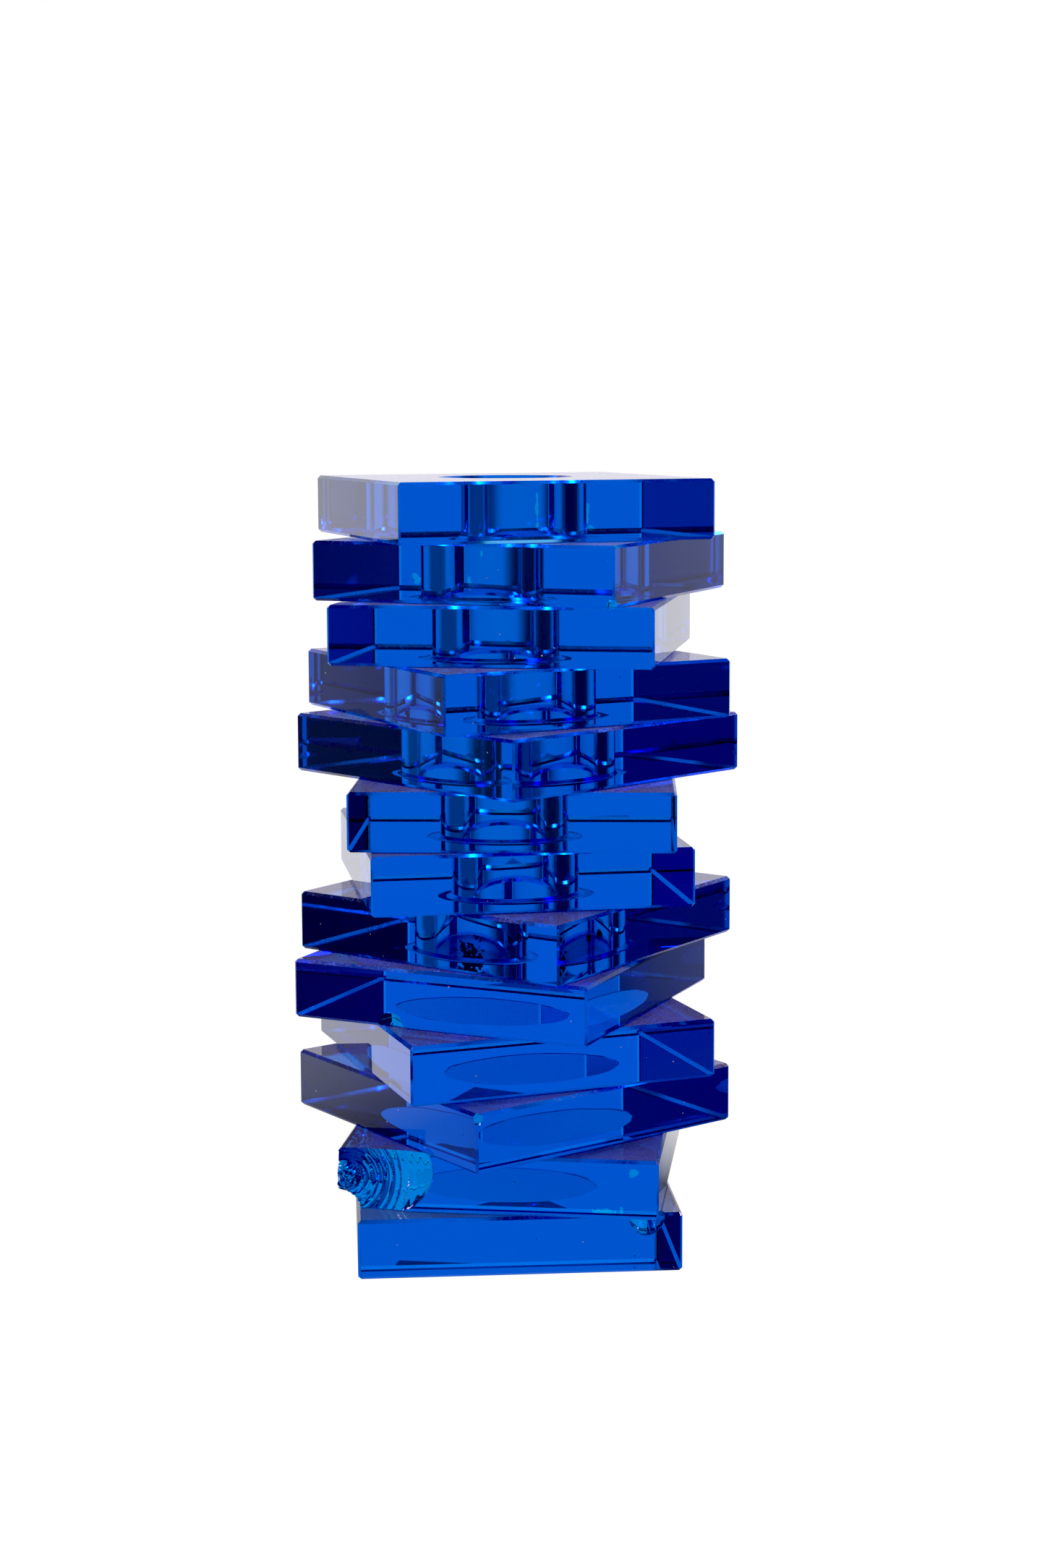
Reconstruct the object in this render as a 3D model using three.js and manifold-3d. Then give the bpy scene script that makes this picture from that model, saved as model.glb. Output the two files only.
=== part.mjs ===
// A candlestick of thirteen square slabs of blue glass, stacked in an uneven twist and cemented to each
// other round the middle. The eight upper slabs are bored on one upright axis, and the hole through them
// is the well that holds the candle. Nothing in it moves.
// Millimetres, +Z up. The origin is on the plane that it stands on, in the middle of the box round it.
import * as THREE from "three";
import { mergeVertices } from "three/addons/utils/BufferGeometryUtils.js";
import Module from "manifold-3d";

// Slabs
const SLAB_SIDE = 54;
const SLAB_THICKNESS = 10;
const BEVEL = 0.5; // ground at 45 degrees along every edge of both faces, and round both rims of a bore
const CORNER_FLAT = 0.35; // leg of the narrow flat ground on each upright corner

// Candle well: a plain bore for a 22 mm dinner candle
const BORE_RADIUS = 11;
const BORE_AXIS = new THREE.Vector2(-1.5, 0);

// Cement between the slabs
const FILM_THICKNESS = 0.13;
const DISC_RADIUS = 15.5;
const RING_RADIUS = 13.2;
const RING_SETBACK = 0.3; // the ring keeps this far back from the rim of the bore

// A flake struck off one upright corner: half its length along the face, its depth and half its height
const FLAKE = new THREE.Vector3(16.5, 2.4, 13);
const FLAKE_HEIGHT = 7; // its middle, above the underside of the slab

const PITCH = SLAB_THICKNESS + FILM_THICKNESS;
const ROUND_STEPS = 20; // straight pieces in half a circle

// From the base up: each slab's turn about the upright axis, in degrees, and where its middle was set down.
// Each was placed by eye, so the turns follow no rule.
const STACK = [
  { name: "base_slab", turn: 4, x: -1.3, y: -0.7 },
  { name: "chipped_slab", turn: -7.5, x: 0, y: -0.3, flaked: true },
  { name: "lower_solid_slab", turn: 36.5, x: -0.8, y: -0.3 },
  { name: "upper_solid_slab", turn: 20, x: -1, y: 0.6 },
  { name: "well_floor_slab", turn: -25, x: -1.8, y: 0.1 },
  { name: "bored_slab_1", turn: -35.5, x: 0.5, y: 1.4, bored: true },
  { name: "bored_slab_2", turn: 9, x: -1.1, y: 1.3, bored: true },
  { name: "bored_slab_3", turn: -2.5, x: 0.5, y: 0, bored: true },
  { name: "bored_slab_4", turn: 44, x: 0.4, y: -0.9, bored: true },
  { name: "bored_slab_5", turn: 28, x: -0.1, y: 0.2, bored: true },
  { name: "bored_slab_6", turn: -10, x: 0.5, y: 0.1, bored: true },
  { name: "bored_slab_7", turn: -23.5, x: 1.8, y: 0.5, bored: true },
  { name: "top_slab", turn: 18, x: -0.9, y: -0.5, bored: true },
];

const wasm = await Module();
wasm.setup();

function glassMaterial() {
  return new THREE.MeshStandardMaterial({ color: 0x0b50d0, roughness: 0.04, metalness: 0 });
}

function cementMaterial() {
  return new THREE.MeshStandardMaterial({ color: 0xbfd2ee, roughness: 0.25, metalness: 0 });
}

function circle(radius, centre = new THREE.Vector2()) {
  return new THREE.Path().absarc(centre.x, centre.y, radius, 0, 2 * Math.PI, false);
}

// A square with its four corners cut off, counterclockwise.
function squareOutline() {
  const half = SLAB_SIDE / 2;
  const short = half - CORNER_FLAT;
  const points = [];
  for (let quarter = 0; quarter < 4; quarter++) {
    const angle = (quarter * Math.PI) / 2;
    for (const [x, y] of [[short, -half], [half, -short]]) {
      points.push(new THREE.Vector2(x, y).rotateAround(new THREE.Vector2(), angle));
    }
  }
  return new THREE.Shape(points);
}

// An outline drawn out into a flat plate standing on z = 0, with a bevel along both of its faces.
function plate(outline, thickness, bevel) {
  const geometry = new THREE.ExtrudeGeometry(outline, {
    depth: thickness - 2 * bevel,
    bevelEnabled: bevel > 0,
    bevelThickness: bevel,
    bevelSize: bevel,
    bevelOffset: -bevel,
    bevelSegments: 1,
    curveSegments: ROUND_STEPS,
  });
  return geometry.translate(0, 0, bevel);
}

function solidOf(geometry) {
  const bare = new THREE.BufferGeometry().setAttribute("position", geometry.getAttribute("position"));
  const merged = mergeVertices(geometry.index ? bare.setIndex(geometry.index) : bare, 1e-4);
  return new wasm.Manifold(
    new wasm.Mesh({
      numProp: 3,
      vertProperties: new Float32Array(merged.attributes.position.array),
      triVerts: new Uint32Array(merged.index.array),
    }),
  );
}

function geometryOf(solid) {
  const { vertProperties, triVerts } = solid.getMesh();
  const geometry = new THREE.BufferGeometry();
  geometry.setAttribute("position", new THREE.BufferAttribute(vertProperties, 3));
  geometry.setIndex(new THREE.BufferAttribute(triVerts, 1));
  geometry.computeVertexNormals();
  return geometry;
}

// The slab with a shallow scallop taken out of its near left corner.
function flaked(geometry) {
  const scallop = new THREE.SphereGeometry(1, 32, 24).scale(FLAKE.x, FLAKE.y, FLAKE.z);
  scallop.translate(-SLAB_SIDE / 2, -SLAB_SIDE / 2, FLAKE_HEIGHT);
  return geometryOf(solidOf(geometry).subtract(solidOf(scallop)));
}

// A slab in its own frame: its sides along X and Y, its underside on z = 0.
function slabGeometry({ turn, x, y, bored, flaked: chipped }) {
  const outline = squareOutline();
  if (bored) {
    const offset = BORE_AXIS.clone().sub(new THREE.Vector2(x, y));
    offset.rotateAround(new THREE.Vector2(), -THREE.MathUtils.degToRad(turn));
    outline.holes.push(circle(BORE_RADIUS, offset));
  }
  const geometry = plate(outline, SLAB_THICKNESS, BEVEL);
  return chipped ? flaked(geometry) : geometry;
}

function slabMesh(slab, level) {
  const mesh = new THREE.Mesh(slabGeometry(slab), glassMaterial());
  mesh.name = slab.name;
  mesh.position.set(slab.x, slab.y, level * PITCH);
  mesh.rotation.z = THREE.MathUtils.degToRad(slab.turn);
  return mesh;
}

// The cement under a slab: a ring round the well below a bored slab, or a disc below a solid one.
function cementMesh(slab, below, level) {
  const outline = new THREE.Shape();
  const radius = slab.bored ? RING_RADIUS : DISC_RADIUS;
  outline.absarc(0, 0, radius, 0, 2 * Math.PI, false);
  if (slab.bored) {
    outline.holes.push(circle(BORE_RADIUS + BEVEL + RING_SETBACK));
  }
  const mesh = new THREE.Mesh(plate(outline, FILM_THICKNESS, 0), cementMaterial());
  const solidLevels = STACK.findIndex((entry) => entry.bored) - 1;
  mesh.name = slab.bored ? `cement_ring_${level - solidLevels}` : `cement_disc_${level}`;
  mesh.position.z = level * PITCH - FILM_THICKNESS;
  if (slab.bored) {
    mesh.position.setX(BORE_AXIS.x).setY(BORE_AXIS.y);
  } else {
    mesh.position.setX((slab.x + below.x) / 2).setY((slab.y + below.y) / 2);
  }
  return mesh;
}

const candlestick = new THREE.Group();
candlestick.name = "glass_candlestick";
STACK.forEach((slab, level) => {
  candlestick.add(slabMesh(slab, level));
  if (level > 0) {
    candlestick.add(cementMesh(slab, STACK[level - 1], level));
  }
});

export default candlestick;
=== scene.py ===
"""A candlestick of thirteen cobalt blue glass slabs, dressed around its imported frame.

The slabs are polished float-like plates with ground edges, cemented on each other round the
middle with a clear optical cement. Where the cement wets both faces, sight passes straight
from slab to slab. Everywhere else a film of air is left between them, which mirrors.
"""

from __future__ import annotations

import logging
import math
from collections.abc import Callable, Iterator
from contextlib import contextmanager
from dataclasses import dataclass, field
from enum import Enum

import bmesh
import bpy
from mathutils import Matrix, Vector

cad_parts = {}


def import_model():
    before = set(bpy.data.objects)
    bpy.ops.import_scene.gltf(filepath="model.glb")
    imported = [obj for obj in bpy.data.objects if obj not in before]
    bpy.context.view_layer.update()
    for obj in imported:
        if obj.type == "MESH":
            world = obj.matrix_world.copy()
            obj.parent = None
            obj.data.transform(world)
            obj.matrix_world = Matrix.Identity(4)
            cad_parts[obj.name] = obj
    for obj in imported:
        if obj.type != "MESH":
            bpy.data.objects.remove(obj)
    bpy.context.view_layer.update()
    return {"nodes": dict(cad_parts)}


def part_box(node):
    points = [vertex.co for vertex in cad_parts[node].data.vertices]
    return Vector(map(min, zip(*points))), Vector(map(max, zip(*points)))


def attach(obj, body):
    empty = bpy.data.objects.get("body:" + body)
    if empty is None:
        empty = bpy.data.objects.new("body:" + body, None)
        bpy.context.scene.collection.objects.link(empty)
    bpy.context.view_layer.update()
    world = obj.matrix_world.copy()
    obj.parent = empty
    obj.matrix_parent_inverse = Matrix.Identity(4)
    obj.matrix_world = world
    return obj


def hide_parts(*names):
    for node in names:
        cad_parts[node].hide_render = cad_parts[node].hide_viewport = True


log = logging.getLogger("candlestick")

MM = 0.001
TINY = 0.00001
LEVEL = 0.999
CONTACT = "contact"
SURFACE = "surface"
DRY = (9.0, 9.0, 1.0)
WHITE = "#FFFFFF"


# Colour and nodes


def paint(hex_colour: str) -> tuple[float, float, float, float]:
    """Turns an sRGB hex colour into linear light.

    Args:
        hex_colour: six hex digits with a leading hash.

    Returns:
        Linear red, green, blue and an alpha of one.
    """
    parts = [int(hex_colour[i : i + 2], 16) / 255 for i in (1, 3, 5)]
    linear = [c / 12.92 if c <= 0.04045 else ((c + 0.055) / 1.055) ** 2.4 for c in parts]
    return (*linear, 1.0)


def add(
    tree: bpy.types.NodeTree,
    kind: str,
    feeds: dict[str | int, object] | None = None,
    **settings: object,
) -> bpy.types.Node:
    """Adds a shader node with its settings and its links.

    Args:
        tree: the node tree it goes in.
        kind: the node's type, without the leading "ShaderNode".
        feeds: for an input's name or number, a value or the output that it is linked to.
        **settings: the node's own properties.

    Returns:
        The new node.
    """
    node = tree.nodes.new("ShaderNode" + kind)
    for name, value in settings.items():
        setattr(node, name, value)
    for socket, value in (feeds or {}).items():
        if isinstance(value, bpy.types.NodeSocket):
            tree.links.new(value, node.inputs[socket])
        else:
            node.inputs[socket].default_value = value
    return node


def new_material(name: str) -> tuple[bpy.types.Material, bpy.types.NodeTree]:
    """Starts an empty node material.

    Args:
        name: the material's name.

    Returns:
        The material and its cleared node tree.
    """
    material = bpy.data.materials.new(name)
    material.use_nodes = True
    material.node_tree.nodes.clear()
    return material, material.node_tree


# Modelling


def deselect() -> None:
    """Clears the selection, so that an operator touches only what is picked next."""
    bpy.ops.object.select_all(action="DESELECT")


def pick(piece: bpy.types.Object) -> None:
    """Selects one piece alone and makes it active."""
    deselect()
    piece.select_set(True)
    bpy.context.view_layer.objects.active = piece


@contextmanager
def editing(piece: bpy.types.Object, mode: str = "EDGE") -> Iterator[None]:
    """Opens a piece in edit mode with nothing selected, and closes it afterwards.

    Args:
        piece: the piece to shape.
        mode: VERT, EDGE or FACE.
    """
    pick(piece)
    bpy.ops.object.mode_set(mode="EDIT")
    bpy.ops.mesh.select_mode(type=mode)
    bpy.ops.mesh.select_all(action="DESELECT")
    yield
    bpy.ops.object.mode_set(mode="OBJECT")


def choose(piece: bpy.types.Object, parts: str, test: Callable[..., bool]) -> int:
    """Selects the vertices, edges or faces of the open piece that pass a test.

    Args:
        piece: the piece in edit mode.
        parts: verts, edges or faces.
        test: takes a vertex, edge or face and says whether it is wanted.

    Returns:
        How many were chosen.
    """
    shape = bmesh.from_edit_mesh(piece.data)
    chosen = 0
    for part in getattr(shape, parts):
        part.select = bool(test(part))
        chosen += part.select
    shape.select_flush_mode()
    bmesh.update_edit_mesh(piece.data)
    return chosen


def apply_place(piece: bpy.types.Object) -> None:
    """Puts the piece's place, turn and size into its mesh."""
    pick(piece)
    bpy.ops.object.transform_apply(location=True, rotation=True, scale=True)


def cut(piece: bpy.types.Object, tool: bpy.types.Object) -> None:
    """Takes a tool's shape out of a piece and throws the tool away."""
    pick(piece)
    modifier = piece.modifiers.new("cut", "BOOLEAN")
    modifier.operation = "DIFFERENCE"
    modifier.solver = "EXACT"
    modifier.object = tool
    bpy.ops.object.modifier_apply(modifier=modifier.name)
    bpy.data.objects.remove(tool)


def smooth(piece: bpy.types.Object, degrees: float) -> None:
    """Shades a piece smooth except across edges sharper than an angle."""
    pick(piece)
    bpy.ops.object.shade_smooth_by_angle(angle=math.radians(degrees))


def hand_over(piece: bpy.types.Object, node: str) -> None:
    """Makes a finished piece ride on the body and stand for its node in the frame.

    Args:
        piece: the finished piece.
        node: the frame node that it stands for.
    """
    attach(piece, "root")
    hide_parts(node)
    log.info("%s: %d faces", piece.name, len(piece.data.polygons))


# Finishes


class Surface(Enum):
    """How one face of a slab was made, as the number that its surface mark holds."""

    SIDE = 0.0
    TOP = 1.0
    GROUND = 2.0
    BORE = 3.0
    BROKEN = 4.0
    UNDERSIDE = 5.0


@dataclass(frozen=True)
class CobaltGlass:
    """Blue-stained soda-lime plate glass with polished sides and ground bevels.

    To the eye it is deep cobalt blue wherever sight goes through two stained faces, and
    ultramarine where it also meets a side from within. A break or a worn spot has lost
    its stain, so it is a pale, bright azure. The ground bevels are a satin lilac: partly
    the worn stain and partly a painted violet that colours the glints on the edges.

    Attributes:
        skin: the stain's tint, for light that goes in or out.
        glance: what a stained side adds to it, for light that meets it from within.
        depth: the body's own aqua tint.
        edge_wander: how far the cement's edge strays, as a share of its radius.
        edge_waves: how many times a metre it strays, or once every 8 mm or so.
        satin: the roughness of the ground bevels.
        satin_and_glint_tint: the bevels' tint, partly what is left of the stain and partly a
            painted violet for their glints.
        grind_size: the size of the grinding marks, drawn coarser than real grit to show.
        dust_size: the size of a dust grain on the level faces, drawn coarse enough to show.
        dust_tint: the colour of the dust's sheen.
        run_raggedness: the size of the waves along the edge of a run in the stain.
        crumb_size: the size of a crumb along the edge of the burnt wax.
        speck_pitch: the distance between specks of dust on the sides.
        speck_share: the radius of the largest speck, as a share of that distance.
    """

    name: str = "blue_stained_plate_glass"
    index: float = 1.52
    skin: str = "#3A83E9"
    glance: str = "#DADDEE"
    depth: str = "#3FF5FE"
    depth_per_metre: float = 90.0
    edge_wander: float = 0.03
    edge_waves: float = 120.0
    satin: float = 0.22
    # The bevels' tint: partly worn stain, partly a painted violet that colours the glints.
    satin_and_glint_tint: str = "#A096F6"
    wax_colour: str = "#8A6650"
    speck_colour: str = "#EDEBF5"
    grind_size: float = 0.5 * MM
    dust_size: float = 0.25 * MM
    dust_tint: str = "#E6E4F2"
    run_raggedness: float = 0.9 * MM
    crumb_size: float = 0.7 * MM
    # Where the stain has run or is worn through: x, z, half width and half height, in millimetres
    runs: tuple[tuple[float, float, float, float], ...] = (
        (3.7, 126.6, 0.22, 2.7),
        (11.9, 125.5, 0.22, 1.9),
        (12.2, 123.8, 0.7, 0.4),
        (-7.3, 115.0, 0.3, 1.1),
        (-5.3, 119.7, 0.15, 0.5),
        (-15.9, 115.4, 0.6, 1.1),
        (19.2, 18.1, 0.8, 0.7),
        (14.3, 11.4, 1.7, 0.5),
        (17.2, 11.6, 0.25, 0.9),
    )
    # Burnt wax on the wall of the well: its place and size, in millimetres
    wax: tuple[tuple[float, float, float, float], ...] = (
        (-3.9, -10.2, 51.6, 1.9),
        (-6.4, -9.0, 54.4, 0.7),
        (-2.6, -10.6, 54.6, 0.6),
        (6.4, -8.1, 54.6, 0.8),
        (4.0, -9.6, 54.4, 0.6),
    )
    speck_pitch: float = 2.2 * MM
    speck_share: float = 0.06

    def wear(self, tree: bpy.types.NodeTree, spot: bpy.types.NodeSocket) -> bpy.types.NodeSocket:
        """Finds how far a spot on the near side is from the nearest run in the stain.

        Args:
            tree: the node tree it goes in.
            spot: the spot's place, in metres.

        Returns:
            One where the stain is missing.
        """
        ragged = add(
            tree,
            "TexNoise",
            {"Vector": spot, "Scale": 1.0 / self.run_raggedness, "Detail": 3.0},
        )
        shift = add(
            tree, "MapRange", {0: ragged.outputs[0], 1: 0.25, 2: 0.75, 3: -0.75, 4: 0.75}
        )
        nearest: bpy.types.NodeSocket | None = None
        for x, z, wide, high in self.runs:
            away = add(
                tree, "VectorMath", {0: spot, 1: (x * MM, 0.0, z * MM)}, operation="SUBTRACT"
            )
            scaled = add(
                tree,
                "VectorMath",
                {0: away.outputs[0], 1: (1.0 / (wide * MM), 0.0, 1.0 / (high * MM))},
                operation="MULTIPLY",
            )
            reach = add(tree, "VectorMath", {0: scaled.outputs[0]}, operation="LENGTH")
            if nearest is None:
                nearest = reach.outputs["Value"]
            else:
                feeds = {0: nearest, 1: reach.outputs["Value"]}
                nearest = add(tree, "Math", feeds, operation="MINIMUM").outputs[0]
        edge = add(tree, "Math", {0: nearest, 1: shift.outputs[0]}, operation="ADD")
        gone = add(tree, "Math", {0: edge.outputs[0], 1: 1.0}, operation="LESS_THAN")
        parts = add(tree, "SeparateXYZ", {0: spot})
        near = add(tree, "Math", {0: parts.outputs[1], 1: 0.0}, operation="LESS_THAN")
        return add(
            tree, "Math", {0: gone.outputs[0], 1: near.outputs[0]}, operation="MULTIPLY"
        ).outputs[0]

    def soil(
        self,
        tree: bpy.types.NodeTree,
        spot: bpy.types.NodeSocket,
        bore: bpy.types.NodeSocket,
        side: bpy.types.NodeSocket,
    ) -> tuple[bpy.types.NodeSocket, bpy.types.NodeSocket]:
        """Finds the burnt wax on the wall of the well and the specks of dust on the sides.

        Args:
            tree: the node tree it goes in.
            spot: the spot's place, in metres.
            bore: one on the wall of the well.
            side: one on the slabs' sides.

        Returns:
            One where there is burnt wax, and one where there is a speck of dust.
        """
        crumbs = add(
            tree,
            "TexNoise",
            {"Vector": spot, "Scale": 1.0 / self.crumb_size, "Detail": 4.0},
        )
        ragged = add(
            tree, "MapRange", {0: crumbs.outputs[0], 1: 0.3, 2: 0.7, 3: -0.8, 4: 0.8}
        )
        nearest: bpy.types.NodeSocket | None = None
        for x, y, z, size in self.wax:
            away = add(
                tree,
                "VectorMath",
                {0: spot, 1: (x * MM, y * MM, z * MM)},
                operation="DISTANCE",
            )
            share = add(
                tree, "Math", {0: away.outputs["Value"], 1: size * MM}, operation="DIVIDE"
            )
            if nearest is None:
                nearest = share.outputs[0]
            else:
                feeds = {0: nearest, 1: share.outputs[0]}
                nearest = add(tree, "Math", feeds, operation="MINIMUM").outputs[0]
        edge = add(tree, "Math", {0: nearest, 1: ragged.outputs[0]}, operation="ADD")
        burnt = add(tree, "Math", {0: edge.outputs[0], 1: 1.0}, operation="LESS_THAN")
        wax = add(tree, "Math", {0: burnt.outputs[0], 1: bore}, operation="MULTIPLY")
        cells = add(
            tree,
            "TexVoronoi",
            {"Vector": spot, "Scale": 1.0 / self.speck_pitch},
        )
        size = add(tree, "SeparateXYZ", {0: cells.outputs["Color"]})
        reach = add(
            tree, "MapRange", {0: size.outputs[0], 1: 0.6, 2: 1.0, 3: 0.0, 4: self.speck_share}
        )
        speck = add(
            tree,
            "Math",
            {0: cells.outputs["Distance"], 1: reach.outputs[0]},
            operation="LESS_THAN",
        )
        dust = add(tree, "Math", {0: speck.outputs[0], 1: side}, operation="MULTIPLY")
        return wax.outputs[0], dust.outputs[0]

    def wetted(self, tree: bpy.types.NodeTree, spot: bpy.types.NodeSocket) -> bpy.types.NodeSocket:
        """Finds where the cement wets the glass, with a slightly wandering edge.

        Args:
            tree: the node tree it goes in.
            spot: the spot's place, in metres.

        Returns:
            One where it is wetted.
        """
        mark = add(tree, "Attribute", attribute_name=CONTACT)
        parts = add(tree, "SeparateXYZ", {0: mark.outputs["Vector"]})
        flat = add(tree, "CombineXYZ", {0: parts.outputs[0], 1: parts.outputs[1]})
        reach = add(tree, "VectorMath", {0: flat.outputs[0]}, operation="LENGTH")
        wander = add(
            tree, "TexNoise", {"Vector": spot, "Scale": self.edge_waves, "Detail": 1.0}
        )
        drift = add(
            tree,
            "MapRange",
            {0: wander.outputs[0], 1: 0.3, 2: 0.7, 3: -self.edge_wander, 4: self.edge_wander},
        )
        edge = add(tree, "Math", {0: reach.outputs["Value"], 1: drift.outputs[0]}, operation="ADD")
        inside = add(tree, "Math", {0: edge.outputs[0], 1: 1.0}, operation="LESS_THAN")
        outside = add(
            tree,
            "Math",
            {0: reach.outputs["Value"], 1: parts.outputs[2]},
            operation="GREATER_THAN",
        )
        return add(
            tree, "Math", {0: inside.outputs[0], 1: outside.outputs[0]}, operation="MULTIPLY"
        ).outputs[0]

    def build(self) -> bpy.types.Material:
        """Makes the material.

        Returns:
            Glass whose index drops to one where the cement makes two slabs optically one.
        """
        material, tree = new_material(self.name)
        place = add(tree, "TexCoord").outputs["Object"]
        made = add(tree, "Attribute", attribute_name=SURFACE).outputs["Fac"]

        def is_made(surface: Surface) -> bpy.types.NodeSocket:
            """Gives one on the faces that were made one way."""
            feeds = {0: made, 1: surface.value, 2: 0.4}
            return add(tree, "Math", feeds, operation="COMPARE").outputs[0]

        def either(
            first: bpy.types.NodeSocket, second: bpy.types.NodeSocket
        ) -> bpy.types.NodeSocket:
            """Gives the larger of two masks."""
            return add(tree, "Math", {0: first, 1: second}, operation="MAXIMUM").outputs[0]

        side, bore = is_made(Surface.SIDE), is_made(Surface.BORE)
        wax, specks = self.soil(tree, place, bore, side)
        wet = self.wetted(tree, place)
        worn = self.wear(tree, place)
        ground = is_made(Surface.GROUND)
        bare = either(either(wet, worn), either(is_made(Surface.BROKEN), bore))
        index = add(tree, "MapRange", {0: wet, 3: self.index, 4: 1.0})
        # Ground bevels get the worn stain with a painted violet, which colours their glints.
        stain = add(tree, "MixRGB", {0: ground, 1: paint(self.skin), 2: paint(self.satin_and_glint_tint)})
        skin = add(tree, "MixRGB", {0: bare, 1: stain.outputs[0], 2: paint(WHITE)})
        within = add(tree, "NewGeometry").outputs["Backfacing"]
        dusted = add(
            tree, "MixRGB", {0: specks, 1: skin.outputs[0], 2: paint(self.speck_colour)}
        )
        colour = add(
            tree, "MixRGB", {0: wax, 1: dusted.outputs[0], 2: paint(self.wax_colour)}
        )
        soiled = either(wax, specks)
        clear = add(tree, "Math", {0: 1.0, 1: soiled}, operation="SUBTRACT")
        sides = add(tree, "Math", {0: side, 1: worn}, operation="SUBTRACT")
        stained = add(tree, "Math", {0: sides.outputs[0], 1: within}, operation="MULTIPLY")
        stained.use_clamp = True
        grind = add(
            tree, "TexNoise", {"Vector": place, "Scale": 1.0 / self.grind_size, "Detail": 2.0}
        )
        satin = add(
            tree,
            "MapRange",
            {0: grind.outputs[0], 1: 0.3, 2: 0.7, 3: 0.6 * self.satin, 4: 1.3 * self.satin},
        )
        polish = add(tree, "Math", {0: ground, 1: satin.outputs[0]}, operation="MULTIPLY")
        dull = add(tree, "Math", {0: soiled, 1: 0.7}, operation="MULTIPLY")
        rough = add(
            tree, "Math", {0: polish.outputs[0], 1: dull.outputs[0]}, operation="MAXIMUM"
        )
        grains = add(
            tree, "TexNoise", {"Vector": place, "Scale": 1.0 / self.dust_size, "Detail": 2.0}
        )
        amount = add(
            tree, "MapRange", {0: grains.outputs[0], 1: 0.35, 2: 0.65, 3: 0.35, 4: 0.85}
        )
        outer = add(tree, "Math", {0: is_made(Surface.TOP), 1: within}, operation="SUBTRACT")
        dust = add(
            tree, "Math", {0: outer.outputs[0], 1: amount.outputs[0]}, operation="MULTIPLY"
        )
        dust.use_clamp = True
        glass = add(
            tree,
            "BsdfPrincipled",
            {
                "Base Color": colour.outputs[0],
                "Roughness": rough.outputs[0],
                "IOR": index.outputs[0],
                "Transmission Weight": clear.outputs[0],
                "Coat Weight": stained.outputs[0],
                "Coat IOR": 1.0,
                "Coat Roughness": 0.0,
                "Coat Tint": paint(self.glance),
                "Sheen Weight": dust.outputs[0],
                "Sheen Roughness": 0.4,
                "Sheen Tint": paint(self.dust_tint),
            },
        )
        depth = add(
            tree,
            "VolumeAbsorption",
            {"Color": paint(self.depth), "Density": self.depth_per_metre},
        )
        add(tree, "OutputMaterial", {0: glass.outputs[0], 1: depth.outputs[0]})
        return material


@dataclass(frozen=True)
class ClearCement:
    """Ultraviolet-cured acrylic glass cement.

    Its index is close to the glass's, so its wetted faces can't be seen, and only its rim
    catches light.
    """

    name: str = "clear_acrylic_cement"
    index: float = 1.49

    def build(self) -> bpy.types.Material:
        """Makes the material.

        Returns:
            A clear film that shows only at its rim.
        """
        material, tree = new_material(self.name)
        lie = add(tree, "NewGeometry")
        parts = add(tree, "SeparateXYZ", {0: lie.outputs["True Normal"]})
        level = add(tree, "Math", {0: parts.outputs[2]}, operation="ABSOLUTE")
        rim = add(tree, "Math", {0: level.outputs[0], 1: 0.9}, operation="LESS_THAN")
        index = add(tree, "MapRange", {0: rim.outputs[0], 3: 1.0, 4: self.index})
        film = add(
            tree,
            "BsdfPrincipled",
            {
                "Base Color": paint(WHITE),
                "Roughness": 0.0,
                "IOR": index.outputs[0],
                "Transmission Weight": 1.0,
            },
        )
        add(tree, "OutputMaterial", {0: film.outputs[0]})
        return material


# The slabs


class Cement(Enum):
    """What is on a slab's face: the value is the share of the radius left open, if any."""

    NONE = -1.0
    DISC = 0.0
    RING = 11.8 / 13.2


@dataclass
class Patch:
    """Where the cement wets one face of a slab.

    Attributes:
        kind: disc, ring or none.
        centre: its middle, in metres.
        radius: its outer radius, in metres.
    """

    kind: Cement
    centre: Vector
    radius: float


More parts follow.
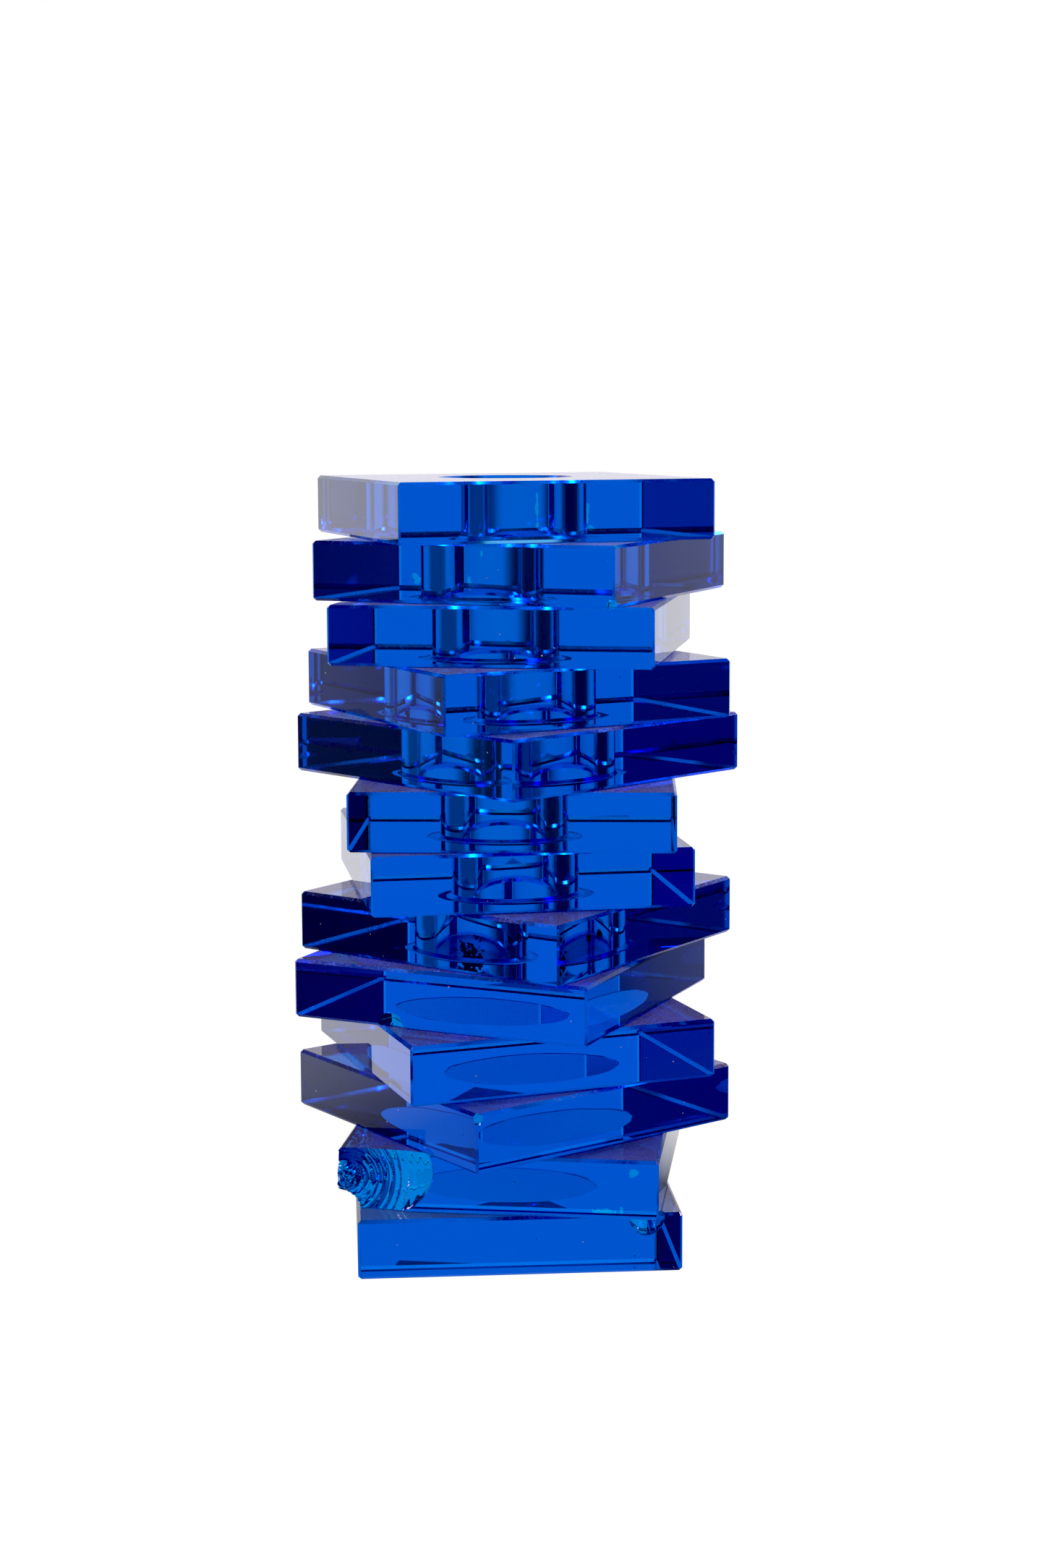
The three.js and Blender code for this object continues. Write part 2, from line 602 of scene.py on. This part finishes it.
@dataclass
class Slab:
    """One square slab of glass with ground edges.

    Attributes:
        node: the frame node that it stands for.
        turn: its turn about the upright axis, in degrees.
        bored: whether the candle well goes through it.
        bore_steps: how many faces go round the bore.
        drill_reach: the length of the drill, in slab thicknesses.
    """

    node: str
    turn: float
    bored: bool = False
    side: float = 54 * MM
    thickness: float = 10 * MM
    edge_bevel: float = 0.5 * MM
    corner_flat: float = 0.35 * MM
    bore_radius: float = 11 * MM
    bore_steps: int = 128
    drill_reach: float = 1.4

    def middle(self) -> Vector:
        """Finds the slab's middle from its node's box, whose low x side may be chipped.

        Returns:
            The middle, in metres.
        """
        low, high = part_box(self.node)
        half = (high.y - low.y) / 2
        return Vector((high.x - half, low.y + half, (low.z + high.z) / 2))

    def blank(self) -> bpy.types.Object:
        """Saws the square blank and grinds its corners and edges.

        Returns:
            The slab at the origin, still square to the axes.
        """
        deselect()
        bpy.ops.mesh.primitive_cube_add(size=1.0)
        piece = bpy.context.object
        piece.name = piece.data.name = "glass_" + self.node
        piece.scale = (self.side, self.side, self.thickness)
        apply_place(piece)
        with editing(piece):
            choose(piece, "edges", lambda e: abs(e.verts[0].co.z - e.verts[1].co.z) > TINY)
            bpy.ops.mesh.bevel(offset=self.corner_flat, segments=1)
            top = self.thickness / 2 - TINY
            choose(
                piece,
                "edges",
                lambda e: min(abs(v.co.z) for v in e.verts) > top
                and e.verts[0].co.z * e.verts[1].co.z > 0,
            )
            bpy.ops.mesh.bevel(offset=self.edge_bevel, segments=1)
        return piece

    def drill(self, piece: bpy.types.Object, axis: Vector) -> None:
        """Bores the candle well and bevels both of its rims.

        Args:
            piece: the slab in place.
            axis: a point on the well's axis.
        """
        z = self.middle().z
        deselect()
        bpy.ops.mesh.primitive_cylinder_add(
            vertices=self.bore_steps,
            radius=self.bore_radius,
            depth=self.thickness * self.drill_reach,
            location=(axis.x, axis.y, z),
        )
        tool = bpy.context.object
        apply_place(tool)
        cut(piece, tool)

        def on_rim(edge: bmesh.types.BMEdge) -> bool:
            """Says whether an edge is on a rim of the bore."""
            ends = [v.co - axis for v in edge.verts]
            round_it = all(abs(e.xy.length - self.bore_radius) < 2 * TINY for e in ends)
            return round_it and abs(ends[0].z - ends[1].z) < TINY

        with editing(piece):
            rims = choose(piece, "edges", on_rim)
            bpy.ops.mesh.bevel(offset=self.edge_bevel, segments=1)
        log.info("%s: %d rim edges", piece.name, rims)

    def damage(self, piece: bpy.types.Object) -> None:
        """Leaves a sound slab as it is."""

    def mark_contact(self, piece: bpy.types.Object, below: Patch, above: Patch) -> None:
        """Writes, on each face's corners, where the cement is.

        Args:
            piece: the slab in place.
            below: the patch on its underside.
            above: the patch on its top.
        """
        shape = piece.data
        marks = shape.attributes.new(CONTACT, "FLOAT_VECTOR", "CORNER")
        for face in shape.polygons:
            lie = face.normal.z
            patch = above if lie > LEVEL else below if lie < -LEVEL else None
            for loop in face.loop_indices:
                spot = DRY
                if patch is not None and patch.kind is not Cement.NONE:
                    at = shape.vertices[shape.loops[loop].vertex_index].co - patch.centre
                    spot = (at.x / patch.radius, at.y / patch.radius, patch.kind.value)
                marks.data[loop].vector = spot

    def surface_of(self, face: bpy.types.MeshPolygon, middle: Vector, axis: Vector) -> Surface:
        """Tells how a face was made from its place and the way it looks.

        Args:
            face: the face.
            middle: the slab's middle.
            axis: a point on the well's axis.

        Returns:
            What the face is.
        """
        if abs(face.normal.z) > LEVEL:
            return Surface.TOP if face.normal.z > 0 else Surface.UNDERSIDE
        off_axis = (face.center - axis).xy.length
        if self.bored and off_axis < self.bore_radius + 2 * TINY:
            return Surface.BORE
        if self.bored and off_axis < self.bore_radius + self.edge_bevel:
            return Surface.GROUND
        square = Matrix.Rotation(-math.radians(self.turn), 3, "Z")
        looks = square @ face.normal
        spot = square @ (face.center - middle)
        level = self.side / 2 - 2 * TINY
        for across in (0, 1):
            if abs(looks[across]) > LEVEL and abs(spot[across]) > level:
                return Surface.SIDE
        upright = abs(looks.z) < 0.01 and abs(abs(looks.x) - abs(looks.y)) < 0.02
        sloped = abs(abs(looks.z) - math.sqrt(0.5)) < 0.02
        near_edge = max(abs(spot.x), abs(spot.y)) > self.side / 2 - self.edge_bevel
        return Surface.GROUND if near_edge and (upright or sloped) else Surface.BROKEN

    def mark_surface(self, piece: bpy.types.Object, axis: Vector) -> None:
        """Writes on each face how it was made.

        Args:
            piece: the slab in place.
            axis: a point on the well's axis.
        """
        marks = piece.data.attributes.new(SURFACE, "FLOAT", "FACE")
        middle = self.middle()
        for face in piece.data.polygons:
            marks.data[face.index].value = self.surface_of(face, middle, axis).value

    def build(self, glass: bpy.types.Material, axis: Vector, below: Patch, above: Patch) -> None:
        """Makes the slab, puts it in its place and dresses it.

        Args:
            glass: the finished glass material.
            axis: a point on the candle well's axis.
            below: the cement on its underside.
            above: the cement on its top.
        """
        piece = self.blank()
        self.damage(piece)
        piece.rotation_euler = (0, 0, math.radians(self.turn))
        piece.location = self.middle()
        apply_place(piece)
        if self.bored:
            self.drill(piece, axis)
        self.mark_contact(piece, below, above)
        self.mark_surface(piece, axis)
        piece.data.materials.append(glass)
        smooth(piece, 25)
        hand_over(piece, self.node)


@dataclass
class Chip:
    """A shell-shaped break in a slab's edge, rippled round the point of the blow.

    Attributes:
        middle: the middle of the tool that cuts it, from the slab's own middle.
        reach: half the tool's length, depth and height.
        blow: where the blow fell, from the slab's own middle.
        ripple: the height of the ripples.
        pitch: the distance from ripple to ripple.
        fineness: how many times the tool's faces are halved.
        bulb: how far round the blow the glass is left standing as a crushed bulb.
        lean: the axis along which the ripples rise.
    """

    middle: tuple[float, float, float]
    reach: tuple[float, float, float]
    blow: tuple[float, float, float]
    ripple: float = 0.12 * MM
    pitch: float = 0.7 * MM
    fineness: int = 5
    bulb: float = 0.0
    lean: str = "Y"

    def weigh(self, tool: bpy.types.Object, name: str, near: float, far: float) -> None:
        """Weighs the tool's vertices by how close to the blow they are.

        Args:
            tool: the tool in place.
            name: the new vertex group's name.
            near: up to this distance the weight is one.
            far: from this distance on it is zero.
        """
        group = tool.vertex_groups.new(name=name)
        blow = Vector(self.blow)
        for vertex in tool.data.vertices:
            away = (vertex.co - blow).length
            weight = min(1.0, max(0.0, (far - away) / (far - near)))
            if weight > 0:
                group.add([vertex.index], weight, "REPLACE")

    def push(
        self,
        tool: bpy.types.Object,
        kind: str,
        group: str,
        height: float,
        level: float = 0.5,
        **look: object,
    ) -> None:
        """Raises a pattern on the tool and applies it.

        Args:
            tool: the tool in place.
            kind: the pattern, WOOD for rings round the blow or CLOUDS for crushing.
            group: the vertex group that limits it, or nothing.
            height: the pattern's whole height.
            level: the pattern's value that leaves the tool as it is.
            **look: the pattern's own settings.
        """
        pattern = bpy.data.textures.new("break", kind)
        for name, value in look.items():
            setattr(pattern, name, value)
        centre = bpy.data.objects.new("blow", None)
        centre.location = self.blow
        size = self.pitch * 20.0 / (2.0 * math.pi)
        centre.scale = (size, size, size)
        bpy.context.scene.collection.objects.link(centre)
        bpy.context.view_layer.update()
        pick(tool)
        modifier = tool.modifiers.new("push", "DISPLACE")
        modifier.texture = pattern
        modifier.texture_coords = "OBJECT"
        modifier.texture_coords_object = centre
        modifier.strength = height
        modifier.mid_level = level
        modifier.direction = self.lean
        modifier.vertex_group = group
        bpy.ops.object.modifier_apply(modifier=modifier.name)
        bpy.data.objects.remove(centre)
        bpy.data.textures.remove(pattern)

    def strike(self, piece: bpy.types.Object) -> None:
        """Takes the chip out of a slab.

        Args:
            piece: the slab at the origin.
        """
        deselect()
        bpy.ops.mesh.primitive_ico_sphere_add(subdivisions=self.fineness, radius=1.0)
        tool = bpy.context.object
        tool.scale = self.reach
        tool.location = self.middle
        apply_place(tool)
        span = max(self.reach)
        self.weigh(tool, "rippled", 0.42 * span, 0.72 * span)
        self.push(
            tool,
            "WOOD",
            "rippled",
            self.ripple,
            wood_type="RINGNOISE",
            noise_basis_2="SAW",
            noise_scale=1.2,
            turbulence=6.0,
        )
        self.push(tool, "WOOD", "", 0.25 * self.ripple, wood_type="RINGNOISE", noise_scale=2.0)
        if self.bulb:
            self.weigh(tool, "bulb", 0.7 * self.bulb, 1.05 * self.bulb)
            self.push(tool, "CLOUDS", "bulb", -self.bulb, 0.0, noise_scale=0.25, noise_depth=2)
        before = len(piece.data.polygons)
        cut(piece, tool)
        log.info("%s: a chip added %d faces", piece.name, len(piece.data.polygons) - before)


@dataclass
class ChippedSlab(Slab):
    """A slab with chips struck off it."""

    chips: tuple[Chip, ...] = ()

    def damage(self, piece: bpy.types.Object) -> None:
        """Strikes the chips off.

        Args:
            piece: the slab at the origin.
        """
        for chip in self.chips:
            chip.strike(piece)


FLAKE = Chip(
    middle=(-27 * MM, -27 * MM, 2 * MM),
    reach=(16.5 * MM, 2.6 * MM, 10 * MM),
    blow=(-25.6 * MM, -26 * MM, 0.2 * MM),
    ripple=0.55 * MM,
    pitch=1.25 * MM,
    fineness=7,
    bulb=2.8 * MM,
)
CORNER_LOSS = Chip(
    middle=(-27.6 * MM, -22 * MM, -5.2 * MM),
    reach=(4.4 * MM, 22 * MM, 3.1 * MM),
    blow=(-26 * MM, -27 * MM, -3 * MM),
    ripple=0.35 * MM,
    pitch=0.8 * MM,
    fineness=6,
    lean="X",
)
BASE_NICK = Chip(
    middle=(21.0 * MM, -27.4 * MM, 5.2 * MM),
    reach=(3.2 * MM, 3.0 * MM, 3.9 * MM),
    blow=(21.0 * MM, -27 * MM, 5 * MM),
    ripple=0.2 * MM,
)
CORNER_NICK = Chip(
    middle=(-27 * MM, -27 * MM, 4.9 * MM),
    reach=(1.2 * MM, 1.0 * MM, 2.0 * MM),
    blow=(-27 * MM, -27 * MM, 5 * MM),
)
FOOT_NICK = Chip(
    middle=(-8.6 * MM, -27.2 * MM, -5.0 * MM),
    reach=(2.4 * MM, 1.4 * MM, 2.6 * MM),
    blow=(-8.6 * MM, -27 * MM, -5 * MM),
)
UNDER_NICK = Chip(
    middle=(27 * MM, -27 * MM, -5.0 * MM),
    reach=(1.5 * MM, 1.5 * MM, 1.6 * MM),
    blow=(27 * MM, -27 * MM, -5 * MM),
)


@dataclass
class CementFilm:
    """A film of cement between two slabs.

    Attributes:
        node: the frame node that it stands for.
        kind: a whole disc, or a ring round the candle well.
    """

    node: str
    kind: Cement
    steps: int = 96
    slack: float = 0.01 * MM

    def patch(self) -> Patch:
        """Finds the face that the film wets from its node's box.

        Returns:
            The patch.
        """
        low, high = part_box(self.node)
        return Patch(self.kind, (low + high) / 2, (high.x - low.x) / 2)

    def build(self, cement: bpy.types.Material) -> None:
        """Makes the film, a little thinner than its gap.

        Args:
            cement: the finished cement material.
        """
        patch = self.patch()
        low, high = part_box(self.node)
        thick = high.z - low.z - 2 * self.slack
        deselect()
        bpy.ops.mesh.primitive_circle_add(
            vertices=self.steps, radius=patch.radius, location=(0, 0, 0)
        )
        piece = bpy.context.object
        piece.name = piece.data.name = "film_" + self.node
        with editing(piece):
            if self.kind is Cement.RING:
                bpy.ops.mesh.primitive_circle_add(
                    vertices=self.steps, radius=patch.radius * self.kind.value
                )
                bpy.ops.mesh.select_all(action="SELECT")
                bpy.ops.mesh.bridge_edge_loops()
            else:
                bpy.ops.mesh.select_all(action="SELECT")
                bpy.ops.mesh.edge_face_add()
            bpy.ops.mesh.select_all(action="SELECT")
            bpy.ops.mesh.extrude_region_move(TRANSFORM_OT_translate={"value": (0, 0, thick)})
            bpy.ops.mesh.select_all(action="SELECT")
            bpy.ops.mesh.normals_make_consistent(inside=False)
        piece.location = (patch.centre.x, patch.centre.y, low.z + self.slack)
        apply_place(piece)
        piece.data.materials.append(cement)
        smooth(piece, 30)
        hand_over(piece, self.node)


@dataclass
class Stack:
    """The thirteen slabs, from the base up, and the cement between them."""

    slabs: list[Slab] = field(
        default_factory=lambda: [
            ChippedSlab("base_slab", 4, chips=(BASE_NICK,)),
            ChippedSlab("chipped_slab", -7.5, chips=(FLAKE, CORNER_LOSS)),
            ChippedSlab("lower_solid_slab", 36.5, chips=(CORNER_NICK,)),
            Slab("upper_solid_slab", 20),
            ChippedSlab("well_floor_slab", -25, chips=(FOOT_NICK,)),
            Slab("bored_slab_1", -35.5, bored=True),
            Slab("bored_slab_2", 9, bored=True),
            Slab("bored_slab_3", -2.5, bored=True),
            Slab("bored_slab_4", 44, bored=True),
            Slab("bored_slab_5", 28, bored=True),
            Slab("bored_slab_6", -10, bored=True),
            ChippedSlab("bored_slab_7", -23.5, bored=True, chips=(UNDER_NICK,)),
            Slab("top_slab", 18, bored=True),
        ]
    )
    films: list[CementFilm] = field(
        default_factory=lambda: [
            CementFilm(f"cement_disc_{i}", Cement.DISC) for i in range(1, 5)
        ]
        + [CementFilm(f"cement_ring_{i}", Cement.RING) for i in range(1, 9)]
    )

    def build(self) -> None:
        """Makes every slab and every film."""
        glass = CobaltGlass().build()
        cement = ClearCement().build()
        axis = self.films[-1].patch().centre
        bare = Patch(Cement.NONE, Vector(), 1.0)
        patches = [bare, *[film.patch() for film in self.films], bare]
        for level, slab in enumerate(self.slabs):
            slab.build(glass, axis, patches[level], patches[level + 1])
        for film in self.films:
            film.build(cement)


# The studio


@dataclass
class Studio:
    """A plain pale floor and a lit room, as for bright-field work on glass.

    The light behind the object is even and white. It falls off round the sides and is dim
    on the near side, which gives the turned ends of the slabs their depth.

    Attributes:
        floor_size: the floor's side.
        floor_gap: the air below the base.
        pool_centre: the middle of a pool of light on the floor, behind and to the left.
        pool_light: how bright the pool is at its middle.
        painted_glow_centre: the middle of a painted violet glow on the floor in front, for light
            the glass throws.
        painted_glow_strength: how bright the painted glow is.
        painted_glow_colour: the painted glow's colour.
        lamp_colour: the colour of the two soft boxes.
        black: the level at which the picture goes black.
        bounces: how many times light may turn inside the glass.
        room: how bright the room is that many degrees round from the middle of its back.
    """

    floor_size: float = 24.0
    floor_gap: float = 0.05 * MM
    pool_centre: tuple[float, float, float] = (-0.14, 0.11, 0.0)
    pool_light: float = 1.3
    # A painted violet glow on the floor in front, standing for light that the glass throws there.
    painted_glow_centre: tuple[float, float, float] = (0.0, -0.12, 0.0)
    painted_glow_strength: float = 0.72
    painted_glow_colour: str = "#D088FF"
    lamp_colour: str = "#DCC8FF"
    black: float = 0.02
    bounces: int = 40
    room: tuple[tuple[float, float], ...] = (
        (-180, 0.30),
        (-130, 0.30),
        (-100, 0.34),
        (-75, 0.34),
        (-56, 0.34),
        (-45, 0.72),
        (-33, 1.0),
        (30, 1.0),
        (42, 0.55),
        (56, 0.12),
        (75, 0.08),
        (95, 0.08),
        (120, 0.2),
        (180, 0.30),
    )

    def light_round(
        self, tree: bpy.types.NodeTree, way: bpy.types.NodeSocket
    ) -> bpy.types.NodeSocket:
        """Grades the light by how far round the room a direction is.

        Args:
            tree: the node tree it goes in.
            way: a direction, whose y axis points straight at the backdrop.

        Returns:
            The light's strength that way.
        """
        parts = add(tree, "SeparateXYZ", {0: way})
        angle = add(tree, "Math", {0: parts.outputs[0], 1: parts.outputs[1]}, operation="ARCTAN2")
        share = add(tree, "MapRange", {0: angle.outputs[0], 1: -math.pi, 2: math.pi})
        ramp = add(tree, "ValToRGB", {0: share.outputs[0]})
        band = ramp.color_ramp
        while len(band.elements) < len(self.room):
            band.elements.new(0.5)
        for element, (degrees, light) in zip(band.elements, self.room):
            element.position = degrees / 360 + 0.5
            element.color = (light, light, light, 1.0)
        return ramp.outputs[0]

    def show(
        self, tree: bpy.types.NodeTree, light: bpy.types.NodeSocket
    ) -> bpy.types.NodeSocket:
        """Lets the plain surroundings themselves look white, however they light the glass."""
        path = add(tree, "LightPath")
        return add(
            tree, "Math", {0: path.outputs["Is Camera Ray"], 1: light}, operation="MAXIMUM"
        ).outputs[0]

    def build_floor(self) -> None:
        """Lays the pale floor, a sheet of lit opal acrylic, a hair below the base."""
        deselect()
        bpy.ops.mesh.primitive_plane_add(size=self.floor_size, location=(0, 0, -self.floor_gap))
        floor = bpy.context.object
        floor.name = floor.data.name = "pale_floor"
        apply_place(floor)
        material, tree = new_material("opal_acrylic_sheet")
        place = add(tree, "TexCoord")
        reach = add(
            tree,
            "VectorMath",
            {0: place.outputs["Object"], 1: self.pool_centre},
            operation="DISTANCE",
        )
        near = add(
            tree,
            "MapRange",
            {0: reach.outputs["Value"], 1: 0.05, 2: 0.15, 3: self.pool_light, 4: 0.0},
            interpolation_type="SMOOTHSTEP",
        )
        # Painted violet glow on the floor in front, standing for light that the glass throws
        # there; only the glass sees it, the camera sees white.
        ahead = add(
            tree,
            "VectorMath",
            {0: place.outputs["Object"], 1: self.painted_glow_centre},
            operation="DISTANCE",
        )
        glow_ahead = add(
            tree,
            "MapRange",
            {0: ahead.outputs["Value"], 1: 0.2, 2: 0.36, 3: 1.0, 4: 0.0},
            interpolation_type="SMOOTHSTEP",
        )
        parts = add(tree, "SeparateXYZ", {0: place.outputs["Object"]})
        in_front = add(
            tree, "MapRange", {0: parts.outputs[1], 1: -0.06, 2: -0.12, 3: 0.0, 4: 1.0}
        )
        cast = add(
            tree,
            "Math",
            {0: glow_ahead.outputs[0], 1: in_front.outputs[0]},
            operation="MULTIPLY",
        )
        path = add(tree, "LightPath")
        unseen = add(
            tree,
            "Math",
            {0: cast.outputs[0], 1: path.outputs["Is Camera Ray"]},
            operation="SUBTRACT",
        )
        unseen.use_clamp = True
        tint = add(
            tree,
            "MixRGB",
            {0: unseen.outputs[0], 1: paint(WHITE), 2: paint(self.painted_glow_colour)},
        )
        painted_glow_strength = add(
            tree, "Math", {0: cast.outputs[0], 1: self.painted_glow_strength}, operation="MULTIPLY"
        )
        pool = add(
            tree, "Math", {0: painted_glow_strength.outputs[0], 1: near.outputs[0]}, operation="MAXIMUM"
        )
        lit = add(
            tree,
            "Math",
            {0: self.light_round(tree, place.outputs["Object"]), 1: pool.outputs[0]},
            operation="MAXIMUM",
        )
        glow = add(
            tree,
            "Emission",
            {"Color": tint.outputs[0], "Strength": self.show(tree, lit.outputs[0])},
        )
        add(tree, "OutputMaterial", {0: glow.outputs[0]})
        floor.data.materials.append(material)

    def build_world(self) -> None:
        """Lights the room: white behind, dim on the near side and overhead."""
        world = bpy.data.worlds.new("studio_light")
        bpy.context.scene.world = world
        world.use_nodes = True
        tree = world.node_tree
        tree.nodes.clear()
        place = add(tree, "TexCoord")
        way = place.outputs["Generated"]
        height = add(tree, "SeparateXYZ", {0: way})
        level = add(
            tree,
            "MapRange",
            {0: height.outputs[2], 1: 0.5, 2: 0.8, 3: 1.0, 4: 0.3},
        )
        lit = add(
            tree,
            "Math",
            {0: self.light_round(tree, way), 1: level.outputs[0]},
            operation="MULTIPLY",
        )
        light = add(
            tree,
            "Background",
            {"Color": paint(WHITE), "Strength": self.show(tree, lit.outputs[0])},
        )
        add(tree, "OutputWorld", {0: light.outputs[0]})

    def build_lamps(self) -> None:
        """Hangs two soft boxes, which give the ground edges their glints."""
        for name, place, size, power in (
            ("left_softbox", (-0.7, -0.2, 0.7), 0.4, 9.0),
            ("right_softbox", (0.8, 0.3, 0.6), 0.3, 8.0),
        ):
            lamp = bpy.data.lights.new(name, "AREA")
            lamp.size = size
            lamp.energy = power
            lamp.color = paint(self.lamp_colour)[:3]
            ob = bpy.data.objects.new(name, lamp)
            ob.location = place
            aim = Vector((0, 0, 0.07)) - ob.location
            ob.rotation_euler = aim.to_track_quat("-Z", "Y").to_euler()
            bpy.context.scene.collection.objects.link(ob)

    def build_camera(self) -> None:
        """Stands the camera a little above the top slab, looking slightly down."""
        pitch, roll = math.radians(6.36), math.radians(-0.277)
        lens = bpy.data.cameras.new("camera")
        lens.sensor_width = 36.0
        lens.lens = 58.15
        lens.shift_x = 0.0060
        lens.shift_y = -0.0555
        lens.clip_start = 0.01
        lens.clip_end = 50.0
        camera = bpy.data.objects.new("camera", lens)
        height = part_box("top_slab")[1].z + 10.53 * MM
        camera.matrix_world = (
            Matrix.Translation((-0.294 * MM, -435.0 * MM, height))
            @ Matrix.Rotation(math.pi / 2 - pitch, 4, "X")
            @ Matrix.Rotation(roll, 4, "Z")
        )
        bpy.context.scene.collection.objects.link(camera)
        bpy.context.scene.camera = camera

    def build(self) -> None:
        """Sets up the floor, the light and the camera."""
        self.build_floor()
        self.build_world()
        self.build_lamps()
        self.build_camera()
        scene = bpy.context.scene
        scene.view_settings.view_transform = "Standard"
        scene.view_settings.use_curve_mapping = True
        curve = scene.view_settings.curve_mapping
        curve.black_level = (self.black, self.black, self.black)
        curve.update()
        scene.cycles.max_bounces = self.bounces
        scene.cycles.transmission_bounces = self.bounces
        scene.cycles.glossy_bounces = self.bounces
        scene.cycles.transparent_max_bounces = self.bounces


def main() -> None:
    """Loads the frame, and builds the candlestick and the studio."""
    logging.basicConfig(level=logging.INFO, format="%(name)s: %(message)s")
    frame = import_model()
    log.info("%d nodes in the frame", len(frame["nodes"]))
    Stack().build()
    Studio().build()


if __name__ == "__main__":
    main()
